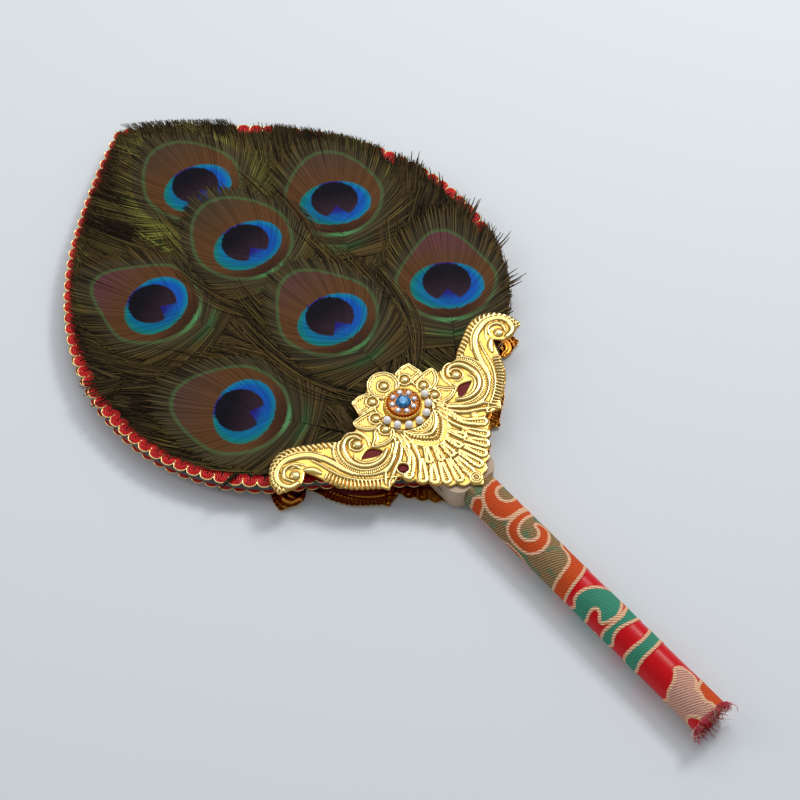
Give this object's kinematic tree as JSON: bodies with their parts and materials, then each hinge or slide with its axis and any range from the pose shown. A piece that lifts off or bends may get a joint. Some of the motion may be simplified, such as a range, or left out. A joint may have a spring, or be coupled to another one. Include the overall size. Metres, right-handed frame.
{
  "type": "feather fan",
  "caption": "Rigid leaf-shaped hand fan with peacock eye feathers on both faces, a looped braid edge, stamped gilt plates, a jewelled rosette and a brocade handle.",
  "frame": {"origin": "under the middle of the whole fan's box, on the surface that it lies on", "axes": "+Y from the handle's butt to the blade's tip, +X across the blade, +Z out of the front face"},
  "size_m": [0.2156, 0.43, 0.0216],
  "materials": {
    "card": "stiff grey pasteboard",
    "ribbon": "dark slate grosgrain ribbon",
    "braid": "red satin loops edged with gold cord",
    "barbs": "loose olive and gold-green feather barbs",
    "eye_feather": "iridescent peacock eye feather",
    "gilt": "bright stamped gilt metal",
    "rivet": "plain brass",
    "lining": "dark red cloth lining",
    "wood": "pale pinkish-beige matte wood",
    "brocade": "red and teal silk brocade",
    "enamel": "orange enamel in a beaded gilt cup",
    "blue_stone": "faceted blue glass stone",
    "clear_stone": "faceted clear glass stone",
    "pearl": "white pearl"
  },
  "bodies": {
    "root": {"core_board": "card", "edge_binding": "ribbon", "front_braid": "braid", "back_braid": "braid", "front_feather_bed": "barbs", "back_feather_bed": "barbs", "front_tip_feather": "eye_feather", "front_upper_left_feather": "eye_feather", "front_upper_right_feather": "eye_feather", "front_middle_feather": "eye_feather", "front_lower_left_feather": "eye_feather", "front_lower_right_feather": "eye_feather", "front_lower_middle_feather": "eye_feather", "back_tip_feather": "eye_feather", "back_upper_left_feather": "eye_feather", "back_upper_right_feather": "eye_feather", "back_middle_feather": "eye_feather", "back_lower_left_feather": "eye_feather", "back_lower_right_feather": "eye_feather", "back_lower_middle_feather": "eye_feather", "front_plate": "gilt", "back_plate": "gilt", "front_lining": "lining", "back_lining": "lining", "handle_core": "wood", "brocade_sleeve": "brocade", "centre_rivet": "rivet", "rosette_cup": "enamel", "stone_setting": "gilt", "blue_stone": "blue_stone", "small_stone_1": "clear_stone", "small_stone_2": "clear_stone", "small_stone_3": "clear_stone", "small_stone_4": "clear_stone", "small_stone_5": "clear_stone", "small_stone_6": "clear_stone", "small_stone_7": "clear_stone", "small_stone_8": "clear_stone", "pearl_1": "pearl", "pearl_2": "pearl", "pearl_3": "pearl", "pearl_4": "pearl", "pearl_5": "pearl", "pearl_6": "pearl", "pearl_7": "pearl"}
  },
  "joints": []
}
